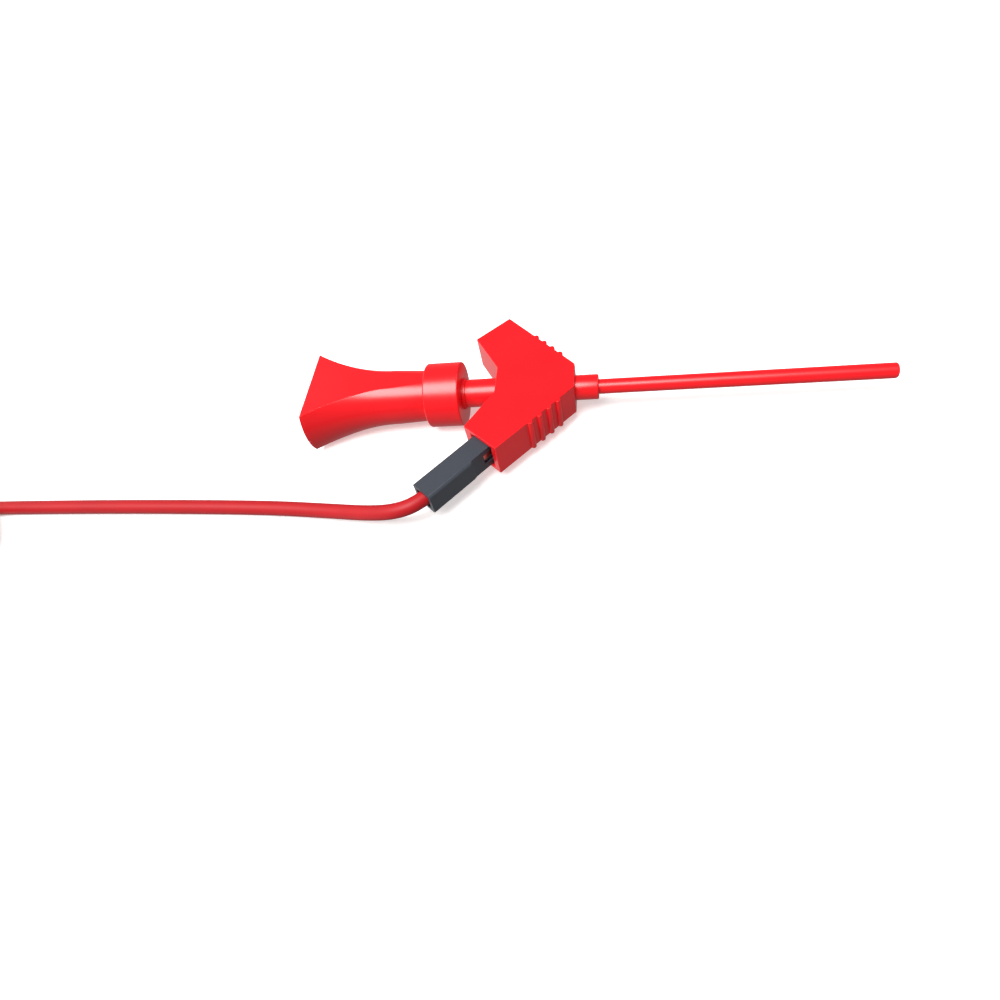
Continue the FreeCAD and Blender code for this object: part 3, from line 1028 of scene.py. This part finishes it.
@dataclass
class ReturnSpring:
    """The coil spring between the rod and the washer, which shortens as the button goes in."""

    wire: float = 0.24
    radius: float = 0.9
    turns: float = 4.5
    front: float = 6.7
    rear: float = 2.2
    end_gap: float = 0.02
    travel: float = 2.4
    steps_per_turn: int = 28

    def coil(self) -> Piece:
        """Winds the wire's round outline along a screw line.

        Returns:
            The piece.
        """
        lift = self.wire / 2 + self.end_gap
        length = self.front - self.rear - 2 * lift
        bpy.ops.object.select_all(action="DESELECT")
        bpy.ops.mesh.primitive_circle_add(vertices=12, radius=self.wire / 2 * MM, fill_type="NOTHING",
                                          location=(0, self.radius * MM, 0))
        piece = Piece("return_spring_wound")
        screw = piece.object.modifiers.new("Winding", "SCREW")
        screw.axis = "X"
        screw.angle = 2 * math.pi * self.turns
        screw.screw_offset = length * MM
        screw.steps = screw.render_steps = int(self.turns * self.steps_per_turn)
        piece.apply(screw)
        piece.pick(Element.EDGE, lambda at, facing: True)
        piece.move(row(self.rear + lift))
        bpy.ops.mesh.select_non_manifold(extend=False)
        bpy.ops.mesh.fill()
        piece.close()
        piece.shade(50)
        return piece

    def build(self, steel: bpy.types.Material) -> None:
        """Makes and dresses the spring.

        Args:
            steel: Its material.
        """
        spring = self.coil().fit(Body.CLIP, Slot.SPRING, steel, "return_spring")
        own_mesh(spring)


@dataclass
class PlugHousing:
    """The black single-pole housing at each end of the lead: its front at the origin, its rear along X."""

    width: float = 2.54
    length: float = 14.0
    corner: float = 0.2
    recess_depth: float = 0.22
    recess_start: float = 3.7
    recess_length: float = 4.8
    recess_slope: float = 0.4
    front_wall: float = 1.2
    pin_hole: float = 1.0
    pin_lead_in: float = 0.35
    cavity: float = 1.66
    window_start: float = 5.0
    window_length: float = 2.2
    window_width: float = 1.2
    rounding: float = 0.05

    def recess_tool(self) -> Piece:
        """Makes the shape with sloped ends that cuts the shallow recess of one side.

        Returns:
            The cutting piece.
        """
        half, end = self.width / 2, self.recess_start + self.recess_length
        spread = 1 + 2 * self.recess_slope / self.recess_length
        tool = Piece.box("recess_tool", (self.recess_start, half - self.recess_depth, -half - OVERCUT),
                         (end, half, half + OVERCUT))
        tool.pick(Element.FACE, lambda at, facing: facing.y > 0.9)
        tool.resize((spread, 1, 1), Vector(((self.recess_start + end) / 2, half, 0)))
        tool.extrude(Vector((0, OVERCUT, 0)))
        tool.close()
        return tool

    def shell(self) -> Piece:
        """Makes the housing.

        Returns:
            The piece.
        """
        half, cavity, window = self.width / 2, self.cavity / 2, self.window_width / 2
        piece = Piece.box("plug_shell", (0, -half, -half), (self.length, half, half))
        piece.pick(Element.EDGE, lambda at, facing: abs(facing.x) < 0.1)
        piece.bevel_edges(self.corner, 1)
        piece.close()
        piece.cut(self.recess_tool())
        piece.cut(Piece.box("window_tool", (self.window_start, 0, -window),
                            (self.window_start + self.window_length, half + OVERCUT, window)))
        piece.cut(Piece.box("cavity_tool", (self.front_wall, -cavity, -cavity),
                            (self.length + OVERCUT, cavity, cavity)))
        piece.cut(Piece.flared("hole_tool", self.pin_hole / 2, self.front_wall + OVERCUT, self.pin_lead_in))
        piece.soften(self.rounding, 2)
        piece.shade()
        return piece

    def build(self, plastic: bpy.types.Material, places: dict[str, Matrix]) -> list[bpy.types.Object]:
        """Makes the housing once, and dresses a copy for each end of the lead.

        Args:
            plastic: Its material.
            places: The frame of each housing in mm, by its node.

        Returns:
            The finished housings.
        """
        shell = self.shell()
        ends = [shell.copy(node + "_moulded", place).fit(Body.LEAD, Slot.HOUSING, plastic, node)
                for node, place in places.items()]
        shell.remove()
        return ends


@dataclass
class CableTie:
    """A small nylon tie pulled tight round the wound wire, its tail cut short at the head."""

    centre: Vector
    radius: float
    angle: float = 135.0
    half: float = 0.85
    height: float = 4.9
    thickness: float = 0.3
    width: float = 2.2
    corner: float = 0.9
    inner_corner: float = 0.7
    head: float = 1.9
    head_overhang: float = 0.2
    head_depth: float = 1.1
    head_sink: float = 0.15
    head_rounding: float = 0.2
    tail: float = 0.5
    tail_offset: float = 0.35
    tail_trim: float = 0.3
    rounding: float = 0.05

    def block(self, name: str, half: float, low: float, high: float, width: float, corner: float) -> Piece:
        """Makes a rounded block across the wound wire.

        Args:
            name: The block's name.
            half: Half its size across the wire, in mm.
            low: Its underside in mm.
            high: Its top in mm.
            width: Its size along the wire in mm.
            corner: Radius of its long edges in mm.

        Returns:
            The piece.
        """
        place = self.frame()
        along = place.to_3x3() @ Vector((0, 1, 0))
        block = Piece.box(name, (-half, -width / 2, low), (half, width / 2, high), place)
        block.pick(Element.EDGE, lambda at, facing: abs(facing.dot(along)) < 0.1)
        block.bevel_edges(corner, 6)
        block.close()
        return block

    def frame(self) -> Matrix:
        """Gives the frame of the tie, with X pointing out of the coil."""
        turn = Matrix.Rotation(math.radians(self.angle), 4, "Z")
        return Matrix.Translation(self.centre) @ turn @ Matrix.Translation((self.radius, 0, 0))

    def build(self, nylon: bpy.types.Material) -> bpy.types.Object:
        """Makes and dresses the tie.

        Args:
            nylon: Its material.

        Returns:
            The finished tie.
        """
        outer, middle = self.half + self.thickness, self.height / 2
        tie = self.block("cable_tie", outer, 0, self.height + self.thickness, self.width, self.corner)
        tie.cut(self.block("tie_inside", self.half, self.thickness, self.height, self.width + OVERCUT,
                           self.inner_corner))
        side = self.head / 2 + self.head_overhang
        head = Piece.box("tie_head", (outer - self.head_sink, -side, middle - self.head / 2),
                         (outer + self.head_depth, side, middle + self.head / 2), self.frame())
        head.soften(self.head_rounding, 3)
        tie.unite(head)
        near, side = outer + self.tail_offset, self.width / 2 - self.tail_trim
        tie.unite(Piece.box("tie_tail", (near, -side, middle), (near + self.thickness, side,
                                                                middle + self.head / 2 + self.tail),
                            self.frame()))
        tie.soften(self.rounding, 2)
        tie.shade()
        return tie.fit(Body.LEAD, Slot.TIE, nylon, "coil_tie")


@dataclass
class Lead:
    """The red wire: its route from plug to plug, with the part that isn't in view wound up."""

    diameter: float = 1.5
    coil_x: float = -71.2
    coil_y: float = -19.6
    coil_radius: float = 8.5
    coil_turns: float = 2.25
    coil_start: float = 90.0
    points_per_turn: int = 16
    climb: float = 0.2
    tie_angle: float = 135.0
    tie_lift: float = 0.3
    seat_gap: float = 0.05
    far_front: Point = (-57.5, -31.25, 1.27)
    length: float = 200.0
    exit_m: Point = (-0.014953, -0.013381, 0.00327)

    def near_points(self) -> list[Vector]:
        """Gives the wire's points from its contact in the near plug to the coil, in mm."""
        return [Vector(p) for p in (
            (-13.949, -12.266, 3.27), (-15.354, -13.827, 3.27), (-17.54, -14.54, 2.95),
            (-20.5, -14.1, 2.15), (-24.9, -13.0, 1.15), (-31.8, -12.1, 0.75),
            (-44.0, -11.6, 0.75), (-57.5, -11.25, 0.75), (-70.5, -11.1, 0.75))]

    def level(self, turn: float) -> float:
        """Gives the turns that lie below a place on the coil.

        Args:
            turn: How many turns the wire has made there.

        Returns:
            The number of turns, which grows over the last part of each turn.
        """
        below = 0.0
        for whole in range(1, int(self.coil_turns) + 1):
            share = min(max((turn - whole + self.climb) / self.climb, 0), 1)
            below += share * share * (3 - 2 * share)
        return below

    def coil_points(self) -> list[Vector]:
        """Gives the points of the wound turns, each lying on the one below, in mm."""
        radius = self.coil_radius / math.cos(math.pi / self.points_per_turn)
        points = []
        for i in range(int(self.coil_turns * self.points_per_turn)):
            turn = (i + 0.5) / self.points_per_turn
            angle = math.radians(self.coil_start + 360 * turn)
            lift = self.tie_lift * max(0, math.cos(angle - math.radians(self.tie_angle))) ** 2
            points.append(Vector((self.coil_x + radius * math.cos(angle),
                                  self.coil_y + radius * math.sin(angle),
                                  self.diameter * (0.5 + self.level(turn)) + lift)))
        return points

    def far_points(self) -> list[Vector]:
        """Gives the wire's points from the coil to its contact in the far plug, in mm."""
        return [Vector(p) for p in (
            (-79.9, -21.7, 3.85), (-79.6, -25.6, 2.7), (-77.25, -29.2, 1.5),
            (-73.5, -31.25, 1.27), (-70.0, -31.25, 1.27))]

    def build(self, vinyl: bpy.types.Material, on_wire: Sequence[bpy.types.Object]) -> None:
        """Args:
            vinyl: Its material.
            on_wire: The pieces on it; not used.
        """
        points = self.near_points() + self.coil_points() + self.far_points()
        curve = bpy.data.curves.new("red_wire", "CURVE")
        curve.dimensions = "3D"
        curve.bevel_depth = self.diameter / 2 * MM
        curve.bevel_resolution = 8
        curve.use_fill_caps = True
        spline = curve.splines.new("NURBS")
        spline.points.add(len(points) - 1)
        for point, place in zip(spline.points, points):
            point.co = (place * MM).to_4d()
            point.co[3] = 1.0
        spline.order_u = 3
        spline.use_endpoint_u = True
        spline.resolution_u = 10
        wire = bpy.data.objects.new("red_wire", curve)
        bpy.context.scene.collection.objects.link(wire)
        curve.materials.append(vinyl)
        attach(wire, Body.LEAD.value)
        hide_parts("lead_wire", "lead_coil", "lead_tail")
        log.info("red_wire: %d route points", len(points))


@dataclass
class Studio:
    """The plain floor, the soft lights and the camera, whose place is in mm and whose axes are unit ones."""

    eye: Point = (3.499, -50.809, 53.699)
    right: Point = (0.98391256, 0.08293815, -0.1582319)
    up: Point = (0.02643304, 0.8083722, 0.58807795)
    back: Point = (0.17668436, -0.58279984, 0.79317526)
    lens: float = 25.2
    floor_radius: float = 1500.0
    cove_radius: float = 600.0
    cove_height: float = 2400.0
    above: float = 0.22
    below: float = 0.36
    left: float = 0.7
    key_from: Point = (-0.2, -0.33, 0.922)
    key_spread: float = 38.0
    key_power: float = 4.3
    card_place: Point = (900.0, 350.0, 250.0)
    card_size: float = 480.0
    card_power: float = 2.2

    def floor(self) -> None:
        """Lays the floor: a flat disc whose far rim curves up into a wall, so no horizon shows."""
        bpy.ops.object.select_all(action="DESELECT")
        bpy.ops.mesh.primitive_circle_add(vertices=96, radius=self.floor_radius * MM, fill_type="NGON")
        floor = bpy.context.active_object
        floor.name = "studio_floor"
        steps = 12
        angles = [math.pi / 2 * i / steps for i in range(1, steps + 1)]
        rim = [(self.floor_radius + self.cove_radius * math.sin(a), self.cove_radius * (1 - math.cos(a)))
               for a in angles]
        bpy.ops.object.mode_set(mode="EDIT")
        bpy.ops.mesh.select_mode(type=Element.EDGE.value)
        bpy.ops.mesh.select_all(action="SELECT")
        bpy.ops.mesh.region_to_loop()
        radius, height = self.floor_radius, 0.0
        for wider, higher in rim + [(self.floor_radius + self.cove_radius, self.cove_height)]:
            bpy.ops.mesh.extrude_region_move(
                TRANSFORM_OT_translate={"value": Vector((0, 0, higher - height)) * MM})
            bpy.ops.transform.resize(value=(wider / radius, wider / radius, 1), center_override=(0, 0, 0))
            radius, height = wider, higher
        bpy.ops.object.mode_set(mode="OBJECT")
        bpy.ops.object.shade_smooth_by_angle(angle=math.radians(30))
        floor.data.materials.append(LightTable().make())
        floor.visible_diffuse = False
        floor.visible_glossy = False
        floor.visible_shadow = False

    def lamp(self, name: str, kind: Lamp, place: Point, power: float, **settings: object) -> bpy.types.Object:
        """Hangs a light that shines from a place towards the clip.

        Args:
            name: The light's name.
            kind: What kind of light it is.
            place: Its place in mm, of which a far light takes the direction only.
            power: Its strength.
            settings: Values of the light's other properties.

        Returns:
            The light.
        """
        data = bpy.data.lights.new(name, kind.value)
        data.energy = power
        for key, value in settings.items():
            setattr(data, key, value)
        lamp = bpy.data.objects.new(name, data)
        lamp.location = Vector(place) * MM
        lamp.rotation_euler = Vector(place).to_track_quat("Z", "Y").to_euler()
        bpy.context.scene.collection.objects.link(lamp)
        return lamp

    def surround(self) -> bpy.types.World:
        """Makes the pale studio round the clip: dim below, lighter above and towards the left.

        Returns:
            The world.
        """
        recipe = Recipe("pale_studio", world=True)
        way = recipe.add("ShaderNodeTexCoord").outputs["Generated"]
        parts = recipe.add("ShaderNodeSeparateXYZ", Vector=way)
        soft = {"interpolation_type": "SMOOTHSTEP"}
        height = recipe.add("ShaderNodeMapRange", soft, Value=parts.outputs["Z"],
                            From_Min=-0.5, From_Max=0.5, To_Min=self.below, To_Max=self.above)
        left = recipe.add("ShaderNodeMapRange", soft, Value=parts.outputs["X"],
                          From_Min=-0.3, From_Max=-0.8, To_Min=0.0, To_Max=self.left)
        total = recipe.add("ShaderNodeMath", {"operation": "ADD"}, i0=height.outputs[0], i1=left.outputs[0])
        return recipe.finish(recipe.add("ShaderNodeBackground", Color=linear("FFFFFF"),
                                        Strength=total.outputs[0]))

    def camera(self) -> None:
        """Sets the camera where the photographer stood."""
        data = bpy.data.cameras.new("camera")
        data.lens = self.lens
        data.sensor_width = 36.0
        data.clip_start = 0.001
        camera = bpy.data.objects.new("camera", data)
        turn = Matrix((self.right, self.up, self.back)).transposed().to_4x4()
        camera.matrix_world = Matrix.Translation(Vector(self.eye) * MM) @ turn
        bpy.context.scene.collection.objects.link(camera)
        bpy.context.scene.camera = camera

    def build(self) -> None:
        """Sets up floor, light and camera."""
        scene = bpy.context.scene
        scene.view_settings.view_transform = "Standard"
        scene.view_settings.look = "None"
        scene.world = self.surround()
        self.floor()
        # A wide soft light above and in front, so far off that it lights the whole floor evenly.
        self.lamp("key", Lamp.FAR, self.key_from, self.key_power, angle=math.radians(self.key_spread))
        # A white card past the claws, which lifts the faces that look along the shaft.
        card = self.lamp("card", Lamp.CARD, self.card_place, self.card_power, shape="DISK",
                         size=self.card_size * MM)
        card.visible_camera = False
        self.camera()


def main() -> None:
    """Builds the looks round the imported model, piece by piece."""
    logging.basicConfig(level=logging.INFO, format="%(name)s: %(message)s")
    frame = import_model()
    Studio().build()

    nylon = MouldedNylon().make()
    tube = MouldedNylon(name="moulded_red_tube", roughness=0.32).make()
    plastic = FilledHousing().make()
    vinyl = SoftInsulation().make()
    tin = DrawnMetal("tinned_brass_pin", "D8D2C4", "BDB6A6", 0.28).make()
    steel = DrawnMetal("stainless_wire", "C9C9C8", "A9A9A8", 0.3).make()
    brass = DrawnMetal("drawn_brass", "D9B76A", "BE9A4E", 0.3).make()

    for node, finish in {
        "spring_washer": steel, "stem_wire": steel, "contact_sleeve": brass, "wire_crimp": brass,
        "plug_contact": tin, "far_plug_contact": tin,
    }.items():
        frame["nodes"][node].data.materials.clear()
        frame["nodes"][node].data.materials.append(finish)

    housing = Housing()
    housing.build(nylon, tin)
    Shaft().build(tube, steel)
    Plunger().build(nylon)
    ReturnSpring().build(steel)

    lead = Lead()
    tie = CableTie(Vector((lead.coil_x, lead.coil_y, 0)), lead.coil_radius, lead.tie_angle)
    on_wire = PlugHousing().build(plastic, {
        "plug_housing": housing.arms[0].frame(lead.seat_gap - housing.socket_depth),
        "far_plug_housing": Matrix.Translation(lead.far_front) @ Matrix.Rotation(math.pi, 4, "Z")})
    on_wire += [tie.build(plastic)] + [frame["nodes"][n] for n in ("plug_contact", "far_plug_contact")]
    lead.build(vinyl, on_wire)


if __name__ == "__main__":
    main()
